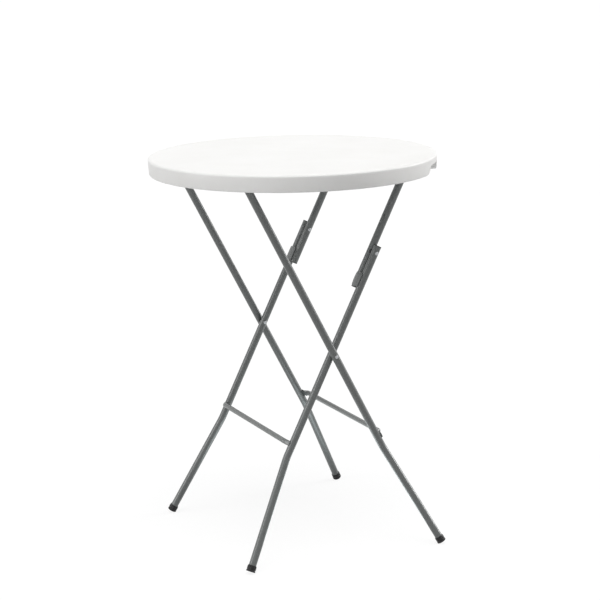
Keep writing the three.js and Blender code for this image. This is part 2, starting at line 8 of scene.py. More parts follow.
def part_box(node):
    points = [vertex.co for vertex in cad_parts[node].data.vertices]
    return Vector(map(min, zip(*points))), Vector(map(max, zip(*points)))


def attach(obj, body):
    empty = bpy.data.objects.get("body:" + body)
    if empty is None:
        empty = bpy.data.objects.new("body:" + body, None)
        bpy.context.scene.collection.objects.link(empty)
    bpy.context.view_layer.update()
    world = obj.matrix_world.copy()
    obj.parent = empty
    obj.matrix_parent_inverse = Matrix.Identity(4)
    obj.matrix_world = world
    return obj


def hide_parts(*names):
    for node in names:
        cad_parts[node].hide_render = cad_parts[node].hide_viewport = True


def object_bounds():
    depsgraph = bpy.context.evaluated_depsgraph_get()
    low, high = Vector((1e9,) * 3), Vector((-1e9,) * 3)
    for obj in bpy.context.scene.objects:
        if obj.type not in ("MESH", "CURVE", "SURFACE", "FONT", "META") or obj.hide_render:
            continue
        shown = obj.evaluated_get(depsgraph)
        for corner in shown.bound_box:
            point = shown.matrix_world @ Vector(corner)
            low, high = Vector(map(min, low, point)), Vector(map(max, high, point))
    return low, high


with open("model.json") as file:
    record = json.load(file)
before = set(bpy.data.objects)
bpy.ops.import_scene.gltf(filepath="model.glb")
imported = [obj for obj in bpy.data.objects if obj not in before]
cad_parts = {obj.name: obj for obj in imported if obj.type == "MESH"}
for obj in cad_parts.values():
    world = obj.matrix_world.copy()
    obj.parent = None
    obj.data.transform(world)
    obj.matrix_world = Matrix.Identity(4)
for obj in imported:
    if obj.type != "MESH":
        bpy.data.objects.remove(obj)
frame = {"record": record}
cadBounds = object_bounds()
print("frame loaded")

# The fold and the leg frames, in metres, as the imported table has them
joints = {joint["name"]: joint for joint in frame["record"]["behaviour"]["joints"]}
table = {
    "height": cadBounds[1][2],
    "radius": cadBounds[1][0],
    "hingeHeight": joints["link_pivot"]["pos_m"][2],
    "hingeHalfSpacing": joints["link_pivot"]["pos_m"][0],
    "footHalfSpread": 0.292,
    "seatGap": 0.0003,
}
table["legAngle"] = math.atan2(
    table["hingeHeight"], table["hingeHalfSpacing"] + table["footHalfSpread"]
)
table["crossingAlong"] = table["hingeHalfSpacing"] / math.cos(table["legAngle"])
table["knuckleAlong"] = table["hingeHalfSpacing"]

tube = {"radius": 0.0105, "wall": 0.0012, "sides": 48, "setIn": 0.006, "sharp": 40}
spacer = {"radius": 0.008, "chamfer": 0.0006, "around": 96, "crossingGap": 0.003,
          "knuckleGap": 0.006}
sides = {"near": -1, "far": 1}

# How far each pair of tubes stands from the middle plane
planes = {"outer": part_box("outer_hinge_tube")[1][1] - tube["radius"]}
planes["inner"] = planes["outer"] - 2 * tube["radius"] - spacer["crossingGap"]
planes["link"] = planes["inner"] - 2 * tube["radius"] - spacer["knuckleGap"]

# The radius at which a lathed shape's flat end is closed
hub = 0.0002


# Mesh building

def newObject(name, data):
    piece = bpy.data.objects.new(name, data)
    bpy.context.scene.collection.objects.link(piece)
    return piece


def pieceFrom(name, points, faces, matrix=Matrix(), edges=()):
    # A new object whose place is in its mesh
    mesh = bpy.data.meshes.new(name)
    mesh.from_pydata([matrix @ Vector(point) for point in points], edges, faces)
    mesh.validate()
    mesh.update()
    return newObject(name, mesh)


def removePieces(*pieces):
    for piece in pieces:
        bpy.data.objects.remove(piece, do_unlink=True)


def joined(name, pieces):
    # Several meshes as one piece
    points, faces = [], []
    for piece in pieces:
        base = len(points)
        points.extend(vertex.co.copy() for vertex in piece.data.vertices)
        faces.extend(tuple(base + index for index in face.vertices) for face in piece.data.polygons)
    removePieces(*pieces)
    return pieceFrom(name, points, faces)


def mix(low, high, share):
    return low + (high - low) * share


def turns(count):
    return [2 * math.pi * step / count for step in range(count)]


def polar(radius, angle):
    return radius * math.cos(angle), radius * math.sin(angle)


def arcPairs(centre, radius, startDegrees, endDegrees, steps):
    pairs = []
    for step in range(steps + 1):
        angle = startDegrees + (endDegrees - startDegrees) * step / steps
        x, y = polar(radius, math.radians(angle))
        pairs.append((centre[0] + x, centre[1] + y))
    return pairs


def ringPiece(name, rings, matrix=Matrix(), loop=False):
    # A skin of quads over rings of equal count, each anticlockwise seen from the way it advances;
    # a loop joins its last ring to its first, and any other skin is closed by two flat ends
    around = len(rings[0])
    faces = []
    for ring in range(len(rings) if loop else len(rings) - 1):
        below = ring * around
        above = (ring + 1) % len(rings) * around
        for corner in range(around):
            following = (corner + 1) % around
            faces.append((below + corner, below + following, above + following, above + corner))
    if not loop:
        last = (len(rings) - 1) * around
        faces.append(tuple(reversed(range(around))))
        faces.append(tuple(range(last, last + around)))
    return pieceFrom(name, [point for ring in rings for point in ring], faces, matrix)


def lathePiece(name, profile, around, matrix=Matrix(), radiusAt=lambda radius, *_: radius):
    # Rings about Z from (radius, height) pairs; radiusAt may shape a ring by its angle
    rings = [[(*polar(radiusAt(radius, height, angle), angle), height) for angle in turns(around)]
             for radius, height in profile]
    return ringPiece(name, rings, matrix)


def softEdge(height, soft, way):
    # (height, growth) of a rounded edge, from its face inwards
    return [(height + way * soft * rise, -soft * inset)
            for rise, inset in ((0, 1), (0.3, 0.3), (1, 0))]


def slabPiece(name, centre, size, corner, steps, levels, matrix=Matrix()):
    # A slab with rounded corners, whose outline grows or shrinks from level to level
    rings = []
    for height, growth in levels:
        ring = []
        for wayX, wayY, start in ((1, 1, 0), (-1, 1, 90), (-1, -1, 180), (1, -1, 270)):
            x = centre[0] + wayX * (size[0] / 2 + growth - corner)
            y = centre[1] + wayY * (size[1] / 2 + growth - corner)
            ring += [(*pair, height) for pair in arcPairs((x, y), corner, start, start + 90, steps)]
        rings.append(ring)
    return ringPiece(name, rings, matrix)


def legMatrix(kind):
    # X runs down along the legs from the hinge axis
    turn = table["legAngle"] if kind == "outer" else math.pi - table["legAngle"]
    hingeX = -table["hingeHalfSpacing"] if kind == "outer" else table["hingeHalfSpacing"]
    place = Matrix.Translation((hingeX, 0, table["hingeHeight"]))
    return place @ Matrix.Rotation(turn, 4, "Y")


def onLegs(kind, along, y, angle=0.0, axis="X"):
    # A place in the plane of a leg frame, turned there
    return (legMatrix(kind) @ Matrix.Translation((along, y, 0))
            @ Matrix.Rotation(angle, 4, axis))


# Node trees

def newTree(name, kind, inputs, outputs):
    # An empty tree with its sockets, and the sockets of what enters it
    tree = bpy.data.node_groups.new(name, kind)
    for way, sockets in (("INPUT", inputs), ("OUTPUT", outputs)):
        for label, socketKind in sockets.items():
            tree.interface.new_socket(label, in_out=way, socket_type="NodeSocket" + socketKind)
    return tree, tree.nodes.new("NodeGroupInput").outputs


def fillNode(tree, node, values):
    # A link or a value for each of a node's inputs
    for socket, value in values.items():
        if isinstance(value, bpy.types.NodeSocket):
            tree.links.new(value, node.inputs[socket])
        else:
            node.inputs[socket].default_value = value


def newNode(tree, kind, values, **settings):
    node = tree.nodes.new(kind)
    for setting, value in settings.items():
        setattr(node, setting, value)
    fillNode(tree, node, values)
    return node.outputs


# Geometry Nodes

def newGeometryTree(name, **inputs):
    return newTree(name, "GeometryNodeTree",
                   {"Geometry": "Geometry", **inputs, "Finish": "Material"},
                   {"Geometry": "Geometry"})


def finishTree(tree, entry, geometry):
    # Realizes what a tree has made and gives it its material
    whole = newNode(tree, "GeometryNodeRealizeInstances", {"Geometry": geometry})
    painted = newNode(tree, "GeometryNodeSetMaterial", {
        "Geometry": whole["Geometry"], "Material": entry["Finish"],
    })
    newNode(tree, "NodeGroupOutput", {"Geometry": painted["Geometry"]})
    return tree


def makeTubeTree():
    # A tube skin along the piece's own polyline
    tree, entry = newGeometryTree("tubeAlongPath", Radius="Float", Sides="Int")
    path = newNode(tree, "GeometryNodeMeshToCurve", {"Mesh": entry["Geometry"]})
    ring = newNode(tree, "GeometryNodeCurvePrimitiveCircle", {
        "Resolution": entry["Sides"], "Radius": entry["Radius"],
    })
    skin = newNode(tree, "GeometryNodeCurveToMesh", {
        "Curve": path["Curve"], "Profile Curve": ring["Curve"],
    })
    smooth = newNode(tree, "GeometryNodeSetShadeSmooth", {"Geometry": skin["Mesh"]})
    return finishTree(tree, entry, smooth["Geometry"])


def makeCopiesTree():
    # A copy of an object at each of the piece's points, turned so that its Z follows "facing"
    tree, entry = newGeometryTree("copiesAtPoints", Pattern="Object", Spin="Float", Seed="Int")
    points = newNode(tree, "GeometryNodeMeshToPoints", {"Mesh": entry["Geometry"]})
    facing = newNode(tree, "GeometryNodeInputNamedAttribute", {"Name": "facing"},
                     data_type="FLOAT_VECTOR")
    align = newNode(tree, "FunctionNodeAlignRotationToVector", {"Vector": facing[0]}, axis="Z")
    chance = newNode(tree, "FunctionNodeRandomValue", {3: entry["Spin"], "Seed": entry["Seed"]},
                     data_type="FLOAT")
    turn = newNode(tree, "FunctionNodeAxisAngleToRotation", {"Angle": chance[1]})
    rotate = newNode(tree, "FunctionNodeRotateRotation", {
        "Rotation": align["Rotation"], "Rotate By": turn["Rotation"],
    }, rotation_space="LOCAL")
    pattern = newNode(tree, "GeometryNodeObjectInfo", {"Object": entry["Pattern"]})
    copies = newNode(tree, "GeometryNodeInstanceOnPoints", {
        "Points": points["Points"], "Instance": pattern["Geometry"],
        "Rotation": rotate["Rotation"],
    })
    return finishTree(tree, entry, copies["Instances"])


def makeCutTree():
    # Cuts a copy of a pattern out of the piece at each point of another object
    tree, entry = newGeometryTree("cutsAtPoints", Places="Object", Pattern="Object")
    places = newNode(tree, "GeometryNodeObjectInfo", {"Object": entry["Places"]})
    points = newNode(tree, "GeometryNodeMeshToPoints", {"Mesh": places["Geometry"]})
    pattern = newNode(tree, "GeometryNodeObjectInfo", {"Object": entry["Pattern"]})
    copies = newNode(tree, "GeometryNodeInstanceOnPoints", {
        "Points": points["Points"], "Instance": pattern["Geometry"],
    })
    cutters = newNode(tree, "GeometryNodeRealizeInstances", {"Geometry": copies["Instances"]})
    carved = newNode(tree, "GeometryNodeMeshBoolean", {
        "Mesh 1": entry["Geometry"], "Mesh 2": cutters["Geometry"],
    }, operation="DIFFERENCE")
    return finishTree(tree, entry, carved["Mesh"])


def bakedMesh(piece):
    # Keeps what the piece's modifiers make as its plain mesh
    bpy.context.view_layer.update()
    evaluated = piece.evaluated_get(bpy.context.evaluated_depsgraph_get())
    mesh = bpy.data.meshes.new_from_object(evaluated)
    mesh.name = piece.name
    piece.modifiers.clear()
    piece.data = mesh
    return piece


def runTree(piece, tree, slot, **values):
    # Runs a tree on the piece, with the slot's material as its finish
    modifier = piece.modifiers.new(tree.name, "NODES")
    modifier.node_group = tree
    identifiers = {item.name: item.identifier for item in tree.interface.items_tree
                   if item.in_out == "INPUT"}
    for label, value in {**values, "Finish": finishes[slot]}.items():
        modifier[identifiers[label]] = value
    return bakedMesh(piece)


tubeTree = makeTubeTree()
copiesTree = makeCopiesTree()
cutTree = makeCutTree()
print("trees ready")


# Shader groups

grainShape = {"cellShare": 0.6, "fineShare": 0.4, "fineDetail": 2.0, "mottleDetail": 5.0,
              "mottleRoughness": 0.6, "mottleRange": (0.3, 0.7)}
scuffShape = {"turns": (0.35, -1.1), "leanX": 0.4, "leanY": 0.7, "stretch": 22.0,
              "streakDetail": 3.0, "streakRoughness": 0.65, "streakRange": (0.68, 0.74),
              "patchScale": 9.0, "patchDetail": 2.0, "patchRange": (0.5, 0.65), "dulling": 0.15}


def mathNode(tree, operation, first, second):
    return newNode(tree, "ShaderNodeMath", {0: first, 1: second}, operation=operation)[0]


def noiseNode(tree, vector, scale, detail, roughness=0.5):
    return newNode(tree, "ShaderNodeTexNoise", {
        "Vector": vector, "Scale": scale, "Detail": detail, "Roughness": roughness,
    })["Fac"]


def rangeNode(tree, value, fromRange, toRange=(0.0, 1.0)):
    return newNode(tree, "ShaderNodeMapRange", {
        "Value": value, "From Min": fromRange[0], "From Max": fromRange[1],
        "To Min": toRange[0], "To Max": toRange[1],
    })["Result"]


def makeGrainGroup():
    # Moulding grain or orange peel: a height, and a slow mottle for colour and gloss
    group, entry = newTree("surfaceGrain", "ShaderNodeTree", {
        "Vector": "Vector", "Grain Scale": "Float", "Mottle Scale": "Float",
    }, {"Height": "Float", "Mottle": "Float"})
    vector, scale = entry["Vector"], entry["Grain Scale"]
    cells = newNode(group, "ShaderNodeTexVoronoi", {"Vector": vector, "Scale": scale},
                    feature="SMOOTH_F1")
    fine = noiseNode(group, vector, scale, grainShape["fineDetail"])
    height = mathNode(group, "ADD",
                      mathNode(group, "MULTIPLY", cells["Distance"], grainShape["cellShare"]),
                      mathNode(group, "MULTIPLY", fine, grainShape["fineShare"]))
    mottle = noiseNode(group, vector, entry["Mottle Scale"], grainShape["mottleDetail"],
                       grainShape["mottleRoughness"])
    newNode(group, "NodeGroupOutput", {"Height": height, "Mottle": mottle})
    return group


def makeScuffGroup():
    # Fine handling marks: thin streaks in two crossing directions, thinned out by a patch mask
    group, entry = newTree("handlingScuffs", "ShaderNodeTree", {
        "Vector": "Vector", "Streak Scale": "Float", "Amount": "Float",
    }, {"Mask": "Float"})
    shape = scuffShape
    streaks = []
    for turn in shape["turns"]:
        stretched = newNode(group, "ShaderNodeMapping", {
            "Vector": entry["Vector"],
            "Rotation": (shape["leanX"] * turn, shape["leanY"] * turn, turn),
            "Scale": (1.0, shape["stretch"], shape["stretch"]),
        })
        raw = noiseNode(group, stretched["Vector"], entry["Streak Scale"], shape["streakDetail"],
                        shape["streakRoughness"])
        streaks.append(rangeNode(group, raw, shape["streakRange"]))
    patch = noiseNode(group, entry["Vector"], shape["patchScale"], shape["patchDetail"])
    both = mathNode(group, "MULTIPLY", mathNode(group, "MAXIMUM", *streaks),
                    rangeNode(group, patch, shape["patchRange"]))
    newNode(group, "NodeGroupOutput", {
        "Mask": mathNode(group, "MULTIPLY", both, entry["Amount"]),
    })
    return group


grainGroup = makeGrainGroup()
scuffGroup = makeScuffGroup()


# Materials, one for each slot

plainSockets = {"Metallic": 0.0, "Specular IOR Level": 0.5, "Coat Weight": 0.0,
                "Coat Roughness": 0.3}
frameLook = {
    "name": "greyPowderCoat", "colourLow": (0.1, 0.107, 0.1055),
    "colourHigh": (0.112, 0.12, 0.118), "scuffColour": (0.17, 0.18, 0.18), "scuffAmount": 0.12,
    "streakScale": 40.0, "grainScale": 900.0, "mottleScale": 30.0, "roughness": (0.3, 0.38),
    "bump": 0.06, "bumpDepth": 0.0001,
    "sockets": {"Metallic": 0.0, "Specular IOR Level": 0.6, "Coat Weight": 0.2,
                "Coat Roughness": 0.2},
}
looks = {
    "white_plastic": {
        "name": "whiteMoulding", "colourLow": (0.80, 0.795, 0.78),
        "colourHigh": (0.84, 0.838, 0.828), "scuffColour": (0.74, 0.735, 0.72),
        "scuffAmount": 0.25, "streakScale": 26.0, "grainScale": 620.0, "mottleScale": 7.0,
        "roughness": (0.42, 0.5), "bump": 0.35, "bumpDepth": 0.0004,
        "sockets": {**plainSockets, "Specular IOR Level": 0.45},
    },
    "grey_frame": frameLook,
    # The frame's grey powder coat painted lighter: painted light for the light that the level
    # crossbars catch from above. The crossbars' weld beads take it too, which paints out the shade
    # along their joints
    "grey_bar": {
        **frameLook, "name": "greyBarCoat", "colourLow": (0.14, 0.15, 0.148),
        "colourHigh": (0.16, 0.17, 0.168),
    },
    "black_plastic": {
        "name": "blackMoulding", "colourLow": (0.005, 0.005, 0.0055),
        "colourHigh": (0.009, 0.009, 0.0098), "scuffColour": (0.05, 0.05, 0.049),
        "scuffAmount": 0.5, "streakScale": 70.0, "grainScale": 1800.0, "mottleScale": 60.0,
        "roughness": (0.38, 0.5), "bump": 0.4, "bumpDepth": 0.00012,
        "sockets": {**plainSockets, "Specular IOR Level": 0.3},
    },
    "zinc_steel": {
        "name": "zincSteel", "colourLow": (0.35, 0.36, 0.37), "colourHigh": (0.42, 0.43, 0.44),
        "scuffColour": (0.32, 0.33, 0.34), "scuffAmount": 0.6, "streakScale": 160.0,
        "grainScale": 2200.0, "mottleScale": 180.0, "roughness": (0.42, 0.54),
        "bump": 0.2, "bumpDepth": 0.00006, "sockets": {**plainSockets, "Metallic": 1.0},
    },
}


def colourMix(tree, factor, first, second):
    colours = {index: (*value, 1.0) if isinstance(value, tuple) else value
               for index, value in ((6, first), (7, second))}
    return newNode(tree, "ShaderNodeMix", {"Factor": factor, **colours}, data_type="RGBA")[2]


def paintMaterial(look):
    # Any opaque moulded, painted or metal finish: grain, mottle and scuffs from one set of values
    material = bpy.data.materials.new(look["name"])
    material.use_nodes = True
    tree = material.node_tree
    vector = newNode(tree, "ShaderNodeTexCoord", {})["Object"]
    grain = newNode(tree, "ShaderNodeGroup", {
        "Vector": vector, "Grain Scale": look["grainScale"], "Mottle Scale": look["mottleScale"],
    }, node_tree=grainGroup)
    mask = newNode(tree, "ShaderNodeGroup", {
        "Vector": vector, "Streak Scale": look["streakScale"], "Amount": look["scuffAmount"],
    }, node_tree=scuffGroup)["Mask"]
    mottle = rangeNode(tree, grain["Mottle"], grainShape["mottleRange"])
    gloss = rangeNode(tree, grain["Mottle"], grainShape["mottleRange"], look["roughness"])
    dulling = mathNode(tree, "MULTIPLY", mask, scuffShape["dulling"])
    base = colourMix(tree, mottle, look["colourLow"], look["colourHigh"])
    bump = newNode(tree, "ShaderNodeBump", {
        "Height": grain["Height"], "Strength": look["bump"], "Distance": look["bumpDepth"],
    })
    fillNode(tree, tree.nodes["Principled BSDF"], {
        "Base Color": colourMix(tree, mask, base, look["scuffColour"]),
        "Roughness": mathNode(tree, "ADD", gloss, dulling),
        "Normal": bump["Normal"], **look["sockets"],
    })
    return material


finishes = {slot: paintMaterial(look) for slot, look in looks.items()}
print("materials ready")


def keep(piece, slot, body, *nodes, sharp=32):
    # Smooths a finished piece, gives it the material of its slot and its body, and hides its nodes
    piece.data.shade_smooth()
    piece.data.set_sharp_from_angle(angle=math.radians(sharp))
    piece.data.materials.clear()
    piece.data.materials.append(finishes[slot])
    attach(piece, body)
    if nodes:
        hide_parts(*nodes)


# Tabletop

topShape = {
    "around": 288, "edgeRadius": 0.006, "edgeSteps": 8, "panelThickness": 0.014,
    "undersideRings": (0.2, 0.3, 0.35), "upperRings": (0.39, 0.34, 0.2), "rimDepth": 0.046,
    "rimWidth": 0.021, "rimDraft": 0.002, "rimFootRadius": 0.004, "footSteps": 4,
    "rimRootRadius": 0.009, "rootSteps": 6, "notchDepth": 0.0205, "notchFootRadius": 0.0012,
    "notchInner": planes["inner"] - tube["radius"] - 0.0045,
    "notchOuter": planes["outer"] + tube["radius"] + 0.0325, "crownShare": 0.3,
    "crownRun": (0.2, 0.3, 0.4, 0.5, 0.6, 0.7, 0.8), "footShare": 0.55, "cornerSteps": 10,
    "parallelFrom": 12, "parallelTo": 65, "parallelFade": 15, "hair": 0.00001, "sharp": 28,
}
topShape["innerTop"] = table["radius"] - topShape["rimWidth"] - topShape["rimDraft"]
topShape["field"] = topShape["innerTop"] - topShape["rimRootRadius"]
topShape["rimFoot"] = table["height"] - topShape["rimDepth"]
topShape["notchTop"] = table["height"] - topShape["notchDepth"]
topShape["underside"] = table["height"] - topShape["panelThickness"]


def notchColumns():
    # (y, height of the rim's foot) along one notch, from the middle of the table outwards
    shape = topShape
    height = shape["notchTop"] - shape["rimFoot"]
    crown = shape["crownShare"] * height
    foot = shape["footShare"] * height
    inner, outer = shape["notchInner"], shape["notchOuter"]
    low, high = shape["rimFoot"] + foot, shape["notchTop"] - crown
    steps = shape["cornerSteps"]
    columns = arcPairs((inner - foot, low), foot, -90, 0, steps)
    columns += arcPairs((inner + crown, high), crown, 180, 90, steps)
    columns += [(mix(inner, outer, share), shape["notchTop"]) for share in shape["crownRun"]]
    columns += arcPairs((outer - crown, high), crown, 90, 0, steps)
    columns += arcPairs((outer + foot, low), foot, 180, 270, steps)
    return columns


def rimColumns():
    # (angle at the outer edge, height of the rim's foot) round the whole rim
    notch = [(math.asin(y / table["radius"]), foot) for y, foot in notchColumns()]
    start, stop = notch[0][0], notch[-1][0]
    half = math.pi / topShape["around"]
    plain = [(angle, topShape["rimFoot"]) for angle in turns(topShape["around"])
             if not start - half < min(angle, 2 * math.pi - angle) < stop + half]
    mirrored = [(2 * math.pi - angle, foot) for angle, foot in reversed(notch)]
    return sorted(plain + notch + mirrored, key=lambda column: column[0])


def columnAngle(angle, radius):
    # In the notches a column runs parallel to X, so that both walls of a notch do
    shape = topShape
    turn = math.remainder(angle, 2 * math.pi)
    degrees = abs(math.degrees(turn))
    inside = min(degrees - shape["parallelFrom"], shape["parallelTo"] - degrees)
    weight = max(0.0, min(1.0, inside / shape["parallelFade"]))
    if weight == 0.0:
        return angle
    parallel = math.asin(table["radius"] * math.sin(turn) / max(radius, shape["field"]))
    return angle + weight * (parallel - turn)


def topProfile(rimFoot):
    # From the underside of the panel, down the inside of the rim, round its foot and up
    shape = topShape
    radius = table["radius"]
    raised = (rimFoot - shape["rimFoot"]) / (shape["notchTop"] - shape["rimFoot"])
    foot = mix(shape["rimFootRadius"], shape["notchFootRadius"], raised)
    root = shape["rimRootRadius"]
    rootFoot = shape["underside"] - root
    cutShort = math.degrees(math.asin(max(0.0, rimFoot + foot - rootFoot) / root))
    pairs = [(reach, shape["underside"]) for reach in shape["undersideRings"]]
    pairs += arcPairs((shape["innerTop"] - root, rootFoot), root, 90, cutShort,
                      shape["rootSteps"])
    drop = max(0.0, rootFoot - rimFoot - foot) / (rootFoot - shape["rimFoot"] - foot)
    inside = max(pairs[-1][0], shape["innerTop"] + shape["rimDraft"] * drop)
    steps = shape["footSteps"]
    pairs += arcPairs((inside + foot, rimFoot + foot - shape["hair"]), foot, 180, 270, steps)
    outside = radius - shape["rimDraft"] * (table["height"] - rimFoot) / shape["rimDepth"]
    pairs += arcPairs((outside - foot, rimFoot + foot), foot, 270, 360, steps)
    edge = shape["edgeRadius"]
    pairs += arcPairs((radius - edge, table["height"] - edge), edge, 0, 90, shape["edgeSteps"])
    return pairs + [(reach, table["height"]) for reach in shape["upperRings"]]


def makeTop():
    columns = rimColumns()
    profiles = [topProfile(foot) for _, foot in columns]
    rings = []
    for step in range(len(profiles[0])):
        ring = []
        for (angle, _), profile in zip(columns, profiles):
            radius, height = profile[step]
            ring.append((*polar(radius, columnAngle(angle, radius)), height))
        rings.append(ring)
    return ringPiece("tableTop", rings)


hingePad = {"length": 0.0666, "width": 0.033, "drop": 0.0108, "corner": 0.006, "steps": 5,
            "draft": 0.0015, "flare": 0.003, "sink": 0.002, "soft": 0.001, "sharp": 40}
strapPlanes = {kind: sum(corner[1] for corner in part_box(f"{kind}_strap_far")) / 2
               for kind in ("outer", "link")}
hingePlaces = {
    (kind, side): (x, sign * strapPlanes[kind])
    for kind, x in (("outer", -table["hingeHalfSpacing"]), ("link", table["hingeHalfSpacing"]))
    for side, sign in sides.items()
}


def makePad(place):
    # Boss under a hinge strap: drafted sides that widen towards the panel, and a softened face
    face = table["hingeHeight"] + hingePad["drop"]
    root = topShape["underside"] + hingePad["sink"]
    levels = softEdge(face, hingePad["soft"], 1)
    levels += [(root - hingePad["flare"], hingePad["draft"]),
               (root, hingePad["draft"] + hingePad["flare"])]
    size = (hingePad["length"], hingePad["width"])
    return slabPiece("pad", place, size, hingePad["corner"], hingePad["steps"], levels)


# Kiss-off dimples: (share of the field, count) of each circle of them, and the cutter's
# profile as (radius, height over the underside)
kissOff = {
    "sides": 40, "mouth": 0.013, "rings": ((0.25, 6), (0.52, 12), (0.8, 18)),
    "clearance": (0.0348, 0.018),
    "profile": ((0.017, -0.004), (0.0145, -0.0004), (0.0132, 0.0004), (0.0124, 0.0015),
                (0.0082, 0.0082), (0.0072, 0.0094), (0.0058, 0.010)),
}


def kissOffPlaces():
    # Every dimple's place that no hinge pad takes up
    places = []
    for share, count in kissOff["rings"]:
        for step in range(count):
            angle = 2 * math.pi * (step + 0.5) / count
            x, y = polar(share * topShape["field"], angle)
            if all(abs(x - padX) > kissOff["clearance"][0] + kissOff["mouth"]
                   or abs(y - padY) > kissOff["clearance"][1] + kissOff["mouth"]
                   for padX, padY in hingePlaces.values()):
                places.append((x, y, 0.0))
    return places


def dressTop():
    top = makeTop()
    profile = [(radius, topShape["underside"] + rise) for radius, rise in kissOff["profile"]]
    cutter = lathePiece("kissOffCutter", profile, kissOff["sides"])
    places = pieceFrom("kissOffPlaces", kissOffPlaces(), [])
    runTree(top, cutTree, "white_plastic", Places=places, Pattern=cutter)
    removePieces(cutter, places)
    keep(top, "white_plastic", "top", "table_top", sharp=topShape["sharp"])
    pads = joined("hingePads", [makePad(place) for place in hingePlaces.values()])
    keep(pads, "white_plastic", "top", sharp=hingePad["sharp"])


dressTop()
print("tabletop ready")


# Leg tubes

legs = {"bendHeight": 0.290, "bendRadius": 0.090, "bendSteps": 14, "innerLead": 0.0195,
        "linkTail": 0.107, "footSplay": {"outer": 0.084, "inner": 0.0665}}
legs["bendAlong"] = (table["hingeHeight"] - legs["bendHeight"]) / math.sin(table["legAngle"])
legs["splay"] = {kind: math.atan2(reach, legs["bendHeight"] / math.sin(table["legAngle"]))
                 for kind, reach in legs["footSplay"].items()}
innerLegStart = table["knuckleAlong"] - legs["innerLead"]
linkArmEnd = table["knuckleAlong"] + legs["linkTail"]
cap = {"height": 0.018, "sole": 0.0035, "bore": 0.0108, "wall": 0.0012, "bulge": 0.0009,
       "flange": 0.001, "flangeHeight": 0.0034, "edge": 0.0011, "soft": 0.0004,
       "lip": 0.0002, "lipWidth": 0.0006, "hollow": 0.0006, "hollowReach": (0.45, 0.5),
       "barrelSteps": 14, "barrelRun": 1.02, "barrelPower": 0.8, "flutes": 12,
       "fluteDepth": 0.0007, "fluteFadeLow": 0.0015, "fluteFadeHigh": 0.0012,
       "fluteFrom": 0.0008, "fluteSlack": 0.0001, "edgeFrom": -60, "edgeSteps": 3,
       "softTo": 70, "softSteps": 2, "around": 192, "sharp": 35}


def shinLength(kind):
    # From the bend down to the cap's sole, so that its flange's rounded edge meets the floor
    lean = math.cos(legs["splay"][kind]) * math.sin(table["legAngle"])
    edgeRing = cap["bore"] + cap["wall"] + cap["flange"] - cap["edge"]
    lowest = edgeRing * math.sqrt(1 - lean ** 2) + cap["edge"] * (1 - lean)
    return (legs["bendHeight"] - lowest) / lean


def shinPoint(kind, sign, shin):
    splay = legs["splay"][kind]
    return (legs["bendAlong"] + shin * math.cos(splay),
            sign * (planes[kind] + shin * math.sin(splay)), 0)


def capMatrix(kind, sign):
    # The cap's own Z runs up its leg, and its sole is centred at the origin
    turn = (Matrix.Rotation(sign * legs["splay"][kind], 4, "Z")
            @ Matrix.Rotation(-math.pi / 2, 4, "Y"))
    return legMatrix(kind) @ Matrix.Translation(shinPoint(kind, sign, shinLength(kind))) @ turn


def legPath(kind, sign, start):
    # Straight down from the hinge, round the bend and down the shin into its cap
    splay, radius = legs["splay"][kind], legs["bendRadius"]
    bendStart = legs["bendAlong"] - radius * math.tan(splay / 2)
    points = [(start, sign * planes[kind], 0)]
    for step in range(legs["bendSteps"] + 1):
        angle = splay * step / legs["bendSteps"]
        points.append((bendStart + radius * math.sin(angle),
                       sign * (planes[kind] + radius * (1 - math.cos(angle))), 0))
    points.append(shinPoint(kind, sign, shinLength(kind) - cap["sole"] - table["seatGap"]))
    return points


def dressTube(name, kind, path, node):
    edges = [(index, index + 1) for index in range(len(path) - 1)]
    piece = pieceFrom(name, path, [], legMatrix(kind), edges)
    runTree(piece, tubeTree, "grey_frame", Radius=tube["radius"], Sides=tube["sides"])
    wall = piece.modifiers.new("wall", "SOLIDIFY")
    wall.thickness = tube["wall"]
    wall.offset = -1
    keep(bakedMesh(piece), "grey_frame", f"{kind}_frame", node, sharp=tube["sharp"])


for side, sign in sides.items():
    armY = sign * planes["link"]
    dressTube(f"outerLeg_{side}", "outer", legPath("outer", sign, tube["setIn"]),
              f"outer_leg_{side}")
    dressTube(f"innerLeg_{side}", "inner", legPath("inner", sign, innerLegStart),
              f"inner_leg_{side}")
    dressTube(f"linkArm_{side}", "link", [(tube["setIn"], armY, 0), (linkArmEnd, armY, 0)],
              f"link_arm_{side}")
for kind in ("outer", "link"):
    half = planes[kind] + tube["radius"]
    dressTube(f"{kind}HingeTube", kind, [(0, -half, 0), (0, half, 0)], f"{kind}_hinge_tube")
print("tubes ready")


# Crossbars

bar = {"radius": 0.00725, "taper": 0.014, "taperSteps": 10, "cornerSteps": 6, "around": 48,
       "softShare": 0.9, "sharp": 50}
barEnds = {
    "outer": {"rise": 0.033, "turn": 0.0, "thickness": 0.0024, "halfWidth": 0.0107,
              "reach": 0.008, "corner": 0.008, "tipThickness": 0.0024},
    "inner": {"rise": 0.041, "turn": math.pi, "thickness": 0.010, "halfWidth": 0.00725,
              "reach": 0.002, "corner": 0.004, "tipThickness": 0.0016},
}


def barRing(y, halfWidth, halfThickness, shrink=0.0):
    # Round where the bar is, and squarer the flatter it is pressed
    seat = tube["radius"] + table["seatGap"]
    squareness = 0.5 + 0.5 * halfThickness / halfWidth
    ring = []
    for angle in turns(bar["around"]):
        across = math.copysign(abs(math.sin(angle)) ** squareness, math.sin(angle))
        up = math.copysign(abs(math.cos(angle)) ** squareness, math.cos(angle))
        ring.append(((halfWidth - shrink) * across, y,
                     seat + halfThickness + (halfThickness - shrink) * up))
    return ring


def barMatrix(kind):
    return onLegs(kind, legs["bendAlong"] - barEnds[kind]["rise"], 0, barEnds[kind]["turn"])


